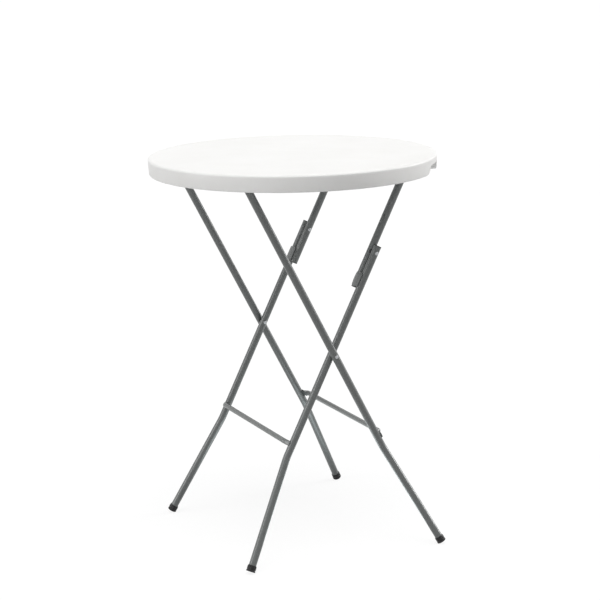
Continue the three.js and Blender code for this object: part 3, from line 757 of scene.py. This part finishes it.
def makeCrossbar(kind):
    # A round bar whose ends are pressed flatter where they cross the legs
    end = barEnds[kind]
    wide, thin, tipThin = end["halfWidth"], end["thickness"] / 2, end["tipThickness"] / 2
    flatStart = planes[kind] - tube["radius"]
    half = []
    for step in range(bar["taperSteps"] + 1):
        share = step / bar["taperSteps"]
        eased = share * share * (3 - 2 * share)
        half.append(barRing(flatStart - bar["taper"] + share * bar["taper"],
                            mix(bar["radius"], wide, eased), mix(bar["radius"], thin, eased)))
    tip = planes[kind] + end["reach"]
    corner = end["corner"]
    soft = bar["softShare"] * tipThin
    arcEnd = math.degrees(math.asin(1 - soft / corner))
    for x, y in arcPairs((wide - corner, tip - corner), corner, 0, arcEnd, bar["cornerSteps"]):
        half.append(barRing(y, x, mix(thin, tipThin, (y - flatStart) / (tip - flatStart))))
    for back, shrink in reversed(softEdge(0, soft, 1)[:2]):
        half.append(barRing(tip - back, x, tipThin, -shrink))
    mirrored = [[(x, -y, z) for x, y, z in ring] for ring in reversed(half)]
    return ringPiece(f"{kind}Crossbar", mirrored + half, barMatrix(kind))


for kind in barEnds:
    # Painted light: each crossbar takes the lighter copy of the frame's coat, for the light that
    # falls on the level bars from above
    keep(makeCrossbar(kind), "grey_bar", f"{kind}_frame", f"{kind}_crossbar", sharp=bar["sharp"])
print("crossbars ready")


# Foot caps

def capProfile():
    # From the sole out over the flange, up the barrel and back down inside
    bore, edge, soft = cap["bore"], cap["edge"], cap["soft"]
    rim = bore + cap["wall"]
    flange = rim + cap["flange"]
    neck = cap["flangeHeight"] + edge
    hollowEdge, soleEdge = cap["hollowReach"]
    pairs = [(hub, cap["hollow"]), (flange * hollowEdge, cap["hollow"]),
             (flange * soleEdge, 0.0), (flange - edge, 0.0)]
    pairs += arcPairs((flange - edge, edge), edge, cap["edgeFrom"], 0, cap["edgeSteps"])
    pairs += arcPairs((flange - soft, cap["flangeHeight"] - soft), soft, 0, cap["softTo"],
                      cap["softSteps"])
    for step in range(cap["barrelSteps"] + 1):
        share = step / cap["barrelSteps"]
        swell = 0.0
        if 0 < share < 1:
            swell = math.sin(math.pi * min(1.0, share * cap["barrelRun"])) ** cap["barrelPower"]
        pairs.append((rim + cap["bulge"] * swell,
                      mix(neck, cap["height"] - cap["lipWidth"], share)))
    return pairs + [(rim - cap["lip"], cap["height"] - cap["lip"]),
                    (rim - cap["lipWidth"], cap["height"]), (bore, cap["height"]),
                    (bore, cap["sole"]), (hub, cap["sole"])]


def fluted(radius, height, angle):
    # Rounded flutes round the barrel only
    neck = cap["flangeHeight"] + cap["edge"]
    if radius <= cap["bore"] + cap["fluteFrom"] or height <= neck - cap["fluteSlack"]:
        return radius
    depth = cap["fluteDepth"] * (0.5 - 0.5 * math.cos(cap["flutes"] * angle)) ** 2
    fade = min(1.0, (height - neck) / cap["fluteFadeLow"],
               (cap["height"] - height) / cap["fluteFadeHigh"])
    return radius - depth * max(0.0, fade)


for kind in legs["footSplay"]:
    for side, sign in sides.items():
        piece = lathePiece(f"{kind}FootCap_{side}", capProfile(), cap["around"],
                           capMatrix(kind, sign), fluted)
        keep(piece, "black_plastic", f"{kind}_frame", f"{kind}_foot_cap_{side}",
             sharp=cap["sharp"])
print("foot caps ready")


# Small parts of the knuckle and the pivots

rivet = {"shank": 0.003, "head": 0.005, "dome": 0.002, "soft": 0.0003, "domeSteps": 7,
         "around": 40}
plug = {"flange": 0.0016, "lip": 0.0004, "depth": 0.008, "faceShare": 0.6, "edgeShare": 0.7,
        "edgeFrom": -80, "edgeSteps": 5, "around": 48}
stop = {"length": 0.040, "thickness": 0.003, "overhang": 0.0045, "setback": 0.0025,
        "corner": 0.003, "steps": 6, "soft": 0.0005, "sharp": 40}
stop["start"] = linkArmEnd - stop["setback"] - stop["length"]


def rivetPairs(bottom, seat, twoHeaded=False):
    # Shank and domed head, with the head's underside at seat
    shank, head, soft = rivet["shank"], rivet["head"], rivet["soft"]
    upper = [(shank, seat), (head - soft, seat), (head, seat + soft)]
    for step in range(1, rivet["domeSteps"] + 1):
        angle = 0.5 * math.pi * step / rivet["domeSteps"]
        upper.append((max(head * math.cos(angle), hub),
                      seat + soft + (rivet["dome"] - soft) * math.sin(angle)))
    if twoHeaded:
        return [(radius, seat + bottom - height) for radius, height in reversed(upper)] + upper
    return [(hub, bottom), (shank - soft, bottom), (shank, bottom + soft)] + upper


def makeSpacer(name, matrix, gap):
    # A washer that is cupped on one side round its own tube
    seat = table["seatGap"]
    reach = tube["radius"] + seat
    bore, outside = rivet["shank"] + rivet["soft"], spacer["radius"]
    chamfer = spacer["chamfer"]
    rings = []
    for radius, level in ((bore, seat), (outside - chamfer, seat), (outside, seat + chamfer),
                          (outside, None), (bore, None)):
        ring = []
        for angle in turns(spacer["around"]):
            x, y = polar(radius, angle)
            cup = gap + tube["radius"] - math.sqrt(reach ** 2 - y ** 2)
            ring.append((x, y, cup if level is None else level))
        rings.append(ring)
    return ringPiece(name, rings, matrix, loop=True)


def plugPairs():
    # A rounded flange, and the stub that stands in the tube
    flange, thick = tube["radius"] + plug["lip"], plug["flange"]
    stub = tube["radius"] - tube["wall"] - table["seatGap"]
    edge = thick * plug["edgeShare"]
    pairs = [(hub, 0.0), (flange * plug["faceShare"], 0.0)]
    pairs += arcPairs((flange - edge, edge), edge, plug["edgeFrom"], 0, plug["edgeSteps"])
    return pairs + [(flange, thick), (stub, thick), (stub, thick + plug["depth"]),
                    (hub, thick + plug["depth"])]


def dressPivots(side, sign):
    # One rivet through both legs at the crossing, and one in two halves at the knuckle
    gap, radius = table["seatGap"], tube["radius"]
    outer, inner, link = planes["outer"], planes["inner"], planes["link"]
    crossing, knuckle = table["crossingAlong"], table["knuckleAlong"]
    grip = outer - inner + 2 * radius + 2 * gap
    twoHeads = rivetPairs(-grip / 2, grip / 2, True)
    for name, kind, along, y, way, pairs, node in (
        ("crossingRivet", "outer", crossing, (outer + inner) / 2, 1, twoHeads, "crossing_rivet"),
        ("knuckleRivetArm", "link", knuckle, link - radius - gap, -1,
         rivetPairs(link - inner, 0), "knuckle_rivet_arm_half"),
        ("knuckleRivetLeg", "inner", knuckle, inner + radius + gap, 1,
         rivetPairs(-(2 * radius + gap), 0), "knuckle_rivet_leg_half"),
    ):
        matrix = onLegs(kind, along, sign * y, -sign * way * math.pi / 2)
        piece = lathePiece(f"{name}_{side}", pairs, rivet["around"], matrix)
        keep(piece, "zinc_steel", f"{kind}_frame", f"{node}_{side}")
    for name, kind, along, way in (("crossing", "outer", crossing, 1),
                                   ("knuckle", "link", knuckle, -1)):
        matrix = onLegs(kind, along, sign * (inner + way * radius), -sign * way * math.pi / 2)
        piece = makeSpacer(f"{name}Spacer_{side}", matrix, spacer[f"{name}Gap"])
        keep(piece, "black_plastic", f"{kind}_frame", f"{name}_spacer_{side}")


def dressPlugs(side, sign):
    # Each plug's face looks out of its tube's end, and its stub points back into the tube
    out = plug["flange"] + table["seatGap"]
    for name, kind, along, way, node in (
        ("innerLegPlug", "inner", innerLegStart - out, 1, "inner_leg_plug"),
        ("linkPlug", "link", linkArmEnd + out, -1, "link_plug"),
    ):
        matrix = onLegs(kind, along, sign * planes[kind], way * math.pi / 2, "Y")
        piece = lathePiece(f"{name}_{side}", plugPairs(), plug["around"], matrix)
        keep(piece, "black_plastic", f"{kind}_frame", f"{node}_{side}")


def dressStop(side, sign):
    # A plate with softened edges, from the arm's crest over the gap and past the leg's crest
    width = planes["inner"] - planes["link"] + stop["overhang"]
    face = -(tube["radius"] + table["seatGap"])
    centre = (stop["start"] + stop["length"] / 2, sign * (planes["link"] + width / 2))
    levels = softEdge(face - stop["thickness"], stop["soft"], 1)
    levels += reversed(softEdge(face, stop["soft"], -1))
    piece = slabPiece(f"stopPlate_{side}", centre, (stop["length"], width), stop["corner"],
                      stop["steps"], levels, legMatrix("link"))
    keep(piece, "grey_frame", "link_frame", f"stop_plate_{side}", sharp=stop["sharp"])


for side, sign in sides.items():
    dressPivots(side, sign)
    dressPlugs(side, sign)
    dressStop(side, sign)
print("knuckles and pivots ready")


# Hinge straps and screws: one pattern each, copied to its places

strap = {"radius": 0.0108, "thickness": 0.002, "ear": 0.017, "width": 0.026, "bend": 0.0025,
         "soft": 0.0004, "mouth": 0.001, "bendSteps": 6, "bowSteps": 28, "sharpFrom": 50}
screw = {"shank": 0.002, "head": 0.0045, "headHeight": 0.0026, "length": 0.014, "point": 0.004,
         "tip": 0.0003, "around": 48, "spin": math.pi / 2, "seed": 3,
         "headShape": ((0.45, 0.98), (0.75, 0.85), (0.93, 0.55), (1.0, 0.2)),
         "recess": {"long": 0.0026, "slim": 0.00045, "deep": 0.0014, "proud": 0.001,
                    "narrowing": (0.55, 0.7)}}


def makeStrapPattern():
    # A bow under the hinge tube with an ear on each side, its edges softened
    radius, bend = strap["radius"], strap["bend"]
    outside = radius + strap["thickness"]
    end = outside + strap["ear"]
    top = radius - table["seatGap"]
    foot = top - strap["thickness"]
    mouth = strap["mouth"]
    outline = [(-end, top), (-end, foot)]
    outline += arcPairs((-outside - bend, foot - bend), bend, 90, 0, strap["bendSteps"])
    outline += arcPairs((0, 0), outside, 180, 360, strap["bowSteps"])
    outline += arcPairs((outside + bend, foot - bend), bend, 180, 90, strap["bendSteps"])
    outline += [(end, foot), (end, top), (radius + mouth, top), (radius, top - mouth)]
    outline += arcPairs((0, 0), radius, 360, 180, strap["bowSteps"])
    outline += [(-radius, top - mouth), (-radius - mouth, top)]
    half = strap["width"] / 2
    pattern = ringPiece("strapPattern", [[(x, y, z) for x, z in outline] for y in (half, -half)])
    edges = pattern.modifiers.new("edges", "BEVEL")
    edges.width = strap["soft"]
    edges.segments = 2
    edges.limit_method = "ANGLE"
    edges.angle_limit = math.radians(strap["sharpFrom"])
    return bakedMesh(pattern)


def makeScrewPattern():
    # Pan head screw pointing up, its head's underside at the origin and a cross cut in the head
    head, tall, shank = screw["head"], screw["headHeight"], screw["shank"]
    profile = [(hub, -tall)] + [(head * reach, -tall * drop) for reach, drop in screw["headShape"]]
    profile += [(head, -hub), (head - hub, 0), (shank, 0),
                (shank, screw["length"] - screw["point"]), (screw["tip"], screw["length"])]
    body = lathePiece("screwPattern", profile, screw["around"])
    cross = screw["recess"]
    long, slim = cross["long"], cross["slim"]
    outline = [(-long, -slim), (long, -slim), (long, slim), (-long, slim)]
    narrowX, narrowY = cross["narrowing"]
    rings = [[(x, y, -tall - cross["proud"]) for x, y in outline],
             [(x * narrowX, y * narrowY, cross["deep"] - tall) for x, y in outline]]
    for turn in (0, math.pi / 2):
        arm = ringPiece("crossArm", rings, Matrix.Rotation(turn, 4, "Z"))
        recess = body.modifiers.new("recess", "BOOLEAN")
        recess.operation = "DIFFERENCE"
        recess.solver = "EXACT"
        recess.object = arm
        bakedMesh(body)
        removePieces(arm)
    return body


def dressCopies(name, pattern, places, nodes, spin=0.0):
    # Copies that face up, each turned by its own part of the spin
    piece = pieceFrom(name, places, [])
    attribute = piece.data.attributes.new("facing", "FLOAT_VECTOR", "POINT")
    attribute.data.foreach_set("vector", [0, 0, 1] * len(places))
    runTree(piece, copiesTree, "zinc_steel", Pattern=pattern, Spin=spin, Seed=screw["seed"])
    removePieces(pattern)
    keep(piece, "zinc_steel", "top", *nodes)


def dressHinges():
    seats = [(x, y, table["hingeHeight"]) for x, y in hingePlaces.values()]
    dressCopies("hingeStraps", makeStrapPattern(), seats,
                [f"{kind}_strap_{side}" for kind, side in hingePlaces])
    offset = strap["radius"] + strap["thickness"] + strap["ear"] / 2
    foot = strap["radius"] - strap["thickness"] - 2 * table["seatGap"]
    places = [(x + shift, y, z + foot) for x, y, z in seats for shift in (-offset, offset)]
    dressCopies("hingeScrews", makeScrewPattern(), places,
                [f"{kind}_screw_{side}_{end}" for kind, side in hingePlaces for end in "ab"],
                spin=screw["spin"])


dressHinges()
print("fixings ready")


# Weld beads

weld = {"radius": 0.0019, "ripples": 26, "rippleDepth": 0.0003, "around": 10, "steps": 104,
        "straightSteps": 36, "endPower": 0.4, "endShift": (0.4, 0.2), "lift": 0.0004,
        "lean": (0.6, 0.8), "saddleLean": (0.5, 0.4), "barInset": 0.001, "stopInset": 0.002,
        "aside": {"outer": 0.0044, "inner": 0.0029, "stop": 0.0044}, "sharp": 60}


def beadPiece(track, normals, matrix, loop=False):
    # A rippled bead along a track; an open one tapers to rounded ends
    count = len(track)
    startShift, wholeShift = weld["endShift"]
    rings = []
    for index, (place, facing) in enumerate(zip(track, normals)):
        ahead = Vector(track[(index + 1) % count if loop else min(index + 1, count - 1)])
        behind = Vector(track[index - 1 if loop else max(index - 1, 0)])
        normal = Vector(facing).normalized()
        across = normal.cross((ahead - behind).normalized()).normalized()
        ripple = math.cos(2 * math.pi * weld["ripples"] * index / weld["steps"])
        radius = weld["radius"] + weld["rippleDepth"] * ripple
        if not loop:
            share = (index + startShift) / (count - wholeShift)
            radius *= math.sin(math.pi * share) ** weld["endPower"]
        rings.append([Vector(place) + radius * (math.cos(angle) * across + math.sin(angle) * normal)
                      for angle in turns(weld["around"])])
    return ringPiece("bead", rings, matrix, loop)


def saddleTrack(plane):
    # Where a leg tube meets the hinge tube that crosses its end
    reach = tube["radius"] - weld["lift"]
    squeeze, push = weld["saddleLean"]
    track, normals = [], []
    for angle in turns(weld["steps"]):
        y, z = polar(reach, angle)
        x = math.sqrt(max(tube["radius"] ** 2 - z ** 2, 0.0))
        track.append((x, plane + y, z))
        normals.append((squeeze * math.cos(angle) ** 2 + push, math.cos(angle), math.sin(angle)))
    return track, normals


def flankBeads(start, end, plane, aside, matrix):
    # One bead on each flank of a tube, under the flat piece that lies on its crest
    steps = weld["straightSteps"]
    height = math.sqrt(tube["radius"] ** 2 - aside ** 2) + weld["lift"]
    out, up = weld["lean"]
    beads = []
    for way in (-1, 1):
        track = [(start + (end - start) * step / steps, plane + way * aside, height)
                 for step in range(steps + 1)]
        beads.append(beadPiece(track, [(0, way * out, up)] * len(track), matrix))
    return beads


def keepWelds(name, beads, body, slot="grey_frame"):
    keep(joined(name, beads), slot, body, sharp=weld["sharp"])


for kind in ("outer", "link"):
    beads = [beadPiece(*saddleTrack(sign * planes[kind]), legMatrix(kind), loop=True)
             for sign in sides.values()]
    keepWelds(f"{kind}HingeWelds", beads, f"{kind}_frame")

for kind, end in barEnds.items():
    reach = end["halfWidth"] - weld["barInset"]
    beads = []
    for sign in sides.values():
        beads += flankBeads(-reach, reach, sign * planes[kind], weld["aside"][kind],
                            barMatrix(kind))
    # Painted light: the crossbar beads take the lighter copy of the frame's coat, which paints out
    # the shade along the joints between bar and leg
    keepWelds(f"{kind}CrossbarWelds", beads, f"{kind}_frame", "grey_bar")

beads = []
for sign in sides.values():
    beads += flankBeads(stop["start"] + weld["stopInset"],
                        stop["start"] + stop["length"] - weld["stopInset"],
                        sign * planes["link"], weld["aside"]["stop"],
                        onLegs("link", 0, 0, math.pi))
keepWelds("stopPlateWelds", beads, "link_frame")
print("welds ready")


# Camera, floor and light

cameraView = {"place": (-2.16495, -4.61569, 1.82487), "yaw": 25.278, "pitch": -12.678,
              "roll": -1.146, "lens": 109.58, "sensor": 36, "reach": 100}
studio = {"floorHeight": -0.0002, "floorSize": 60, "floorColour": (0.5, 0.5, 0.5, 1),
          "shownWhite": 0.875, "shownDiffuse": (0.14, 0.14, 0.14, 1), "skyStrength": 0.28,
          "white": (1, 1, 1, 1)}

# Soft suns, each given by the side that it shines from
lamps = {
    "overhead": {"azimuth": -100, "elevation": 78, "softness": 40, "strength": 1.95},
    "left": {"azimuth": 176, "elevation": 15, "softness": 34, "strength": 1.12},
    "right": {"azimuth": -3, "elevation": 18, "softness": 22, "strength": 1.52},
}
lampDistance = 4

# A soft bounce off the floor among the legs, pointing up
bounce = {"place": (0.1, -0.03, 0.012), "size": 0.45, "power": 1.6, "colour": (0.88, 0.98, 1.0)}


def makeCamera():
    data = bpy.data.cameras.new("camera")
    data.lens = cameraView["lens"]
    data.sensor_width = cameraView["sensor"]
    data.clip_end = cameraView["reach"]
    camera = newObject("camera", data)
    turn = (Matrix.Rotation(math.radians(-cameraView["yaw"]), 4, "Z")
            @ Matrix.Rotation(math.radians(90 + cameraView["pitch"]), 4, "X")
            @ Matrix.Rotation(math.radians(cameraView["roll"]), 4, "Z"))
    camera.matrix_world = Matrix.Translation(cameraView["place"]) @ turn
    bpy.context.scene.camera = camera


def showInstead(tree, lit, shown, output):
    # Rays that show the backdrop, from the camera, in gloss and through glass, meet "shown"
    path = newNode(tree, "ShaderNodeLightPath", {})
    glossy = mathNode(tree, "MAXIMUM", path["Is Camera Ray"], path["Is Glossy Ray"])
    seen = mathNode(tree, "MAXIMUM", glossy, path["Is Transmission Ray"])
    pick = newNode(tree, "ShaderNodeMixShader", {"Fac": seen, 1: lit, 2: shown})
    tree.links.new(pick[0], tree.nodes[output].inputs["Surface"])


def makeFloor():
    half, z = studio["floorSize"] / 2, studio["floorHeight"]
    corners = [(-half, -half, z), (half, -half, z), (half, half, z), (-half, half, z)]
    floor = pieceFrom("floor", corners, [(0, 1, 2, 3)])
    material = bpy.data.materials.new("paleFloor")
    material.use_nodes = True
    tree = material.node_tree
    tree.nodes.remove(tree.nodes["Principled BSDF"])
    plain = newNode(tree, "ShaderNodeBsdfDiffuse", {"Color": studio["floorColour"]})
    glow = newNode(tree, "ShaderNodeEmission", {
        "Color": studio["white"], "Strength": studio["shownWhite"],
    })
    catch = newNode(tree, "ShaderNodeBsdfDiffuse", {"Color": studio["shownDiffuse"]})
    shown = newNode(tree, "ShaderNodeAddShader", {0: glow[0], 1: catch[0]})
    showInstead(tree, plain[0], shown[0], "Material Output")
    floor.data.materials.append(material)


def makeSky():
    world = bpy.data.worlds.new("studioSky")
    world.use_nodes = True
    bpy.context.scene.world = world
    tree = world.node_tree
    lit = tree.nodes["Background"]
    fillNode(tree, lit, {"Color": studio["white"], "Strength": studio["skyStrength"]})
    shown = newNode(tree, "ShaderNodeBackground", {"Color": studio["white"], "Strength": 1.0})
    showInstead(tree, lit.outputs[0], shown[0], "World Output")


def makeLamps():
    for name, lamp in lamps.items():
        data = bpy.data.lights.new(name, "SUN")
        data.energy = lamp["strength"]
        data.angle = math.radians(lamp["softness"])
        piece = newObject(name, data)
        around, up = math.radians(lamp["azimuth"]), math.radians(lamp["elevation"])
        source = Vector((math.cos(up) * math.cos(around), math.cos(up) * math.sin(around),
                         math.sin(up)))
        piece.location = lampDistance * source
        piece.rotation_euler = source.to_track_quat("Z", "Y").to_euler()


def makeBounce():
    data = bpy.data.lights.new("bounce", "AREA")
    data.size = bounce["size"]
    data.energy = bounce["power"]
    data.color = bounce["colour"]
    piece = newObject("bounce", data)
    piece.location = bounce["place"]
    piece.rotation_euler = (math.pi, 0, 0)
    piece.visible_camera = False


makeCamera()
makeFloor()
makeSky()
makeLamps()
makeBounce()
bpy.context.scene.view_settings.view_transform = "Standard"
print("studio ready")
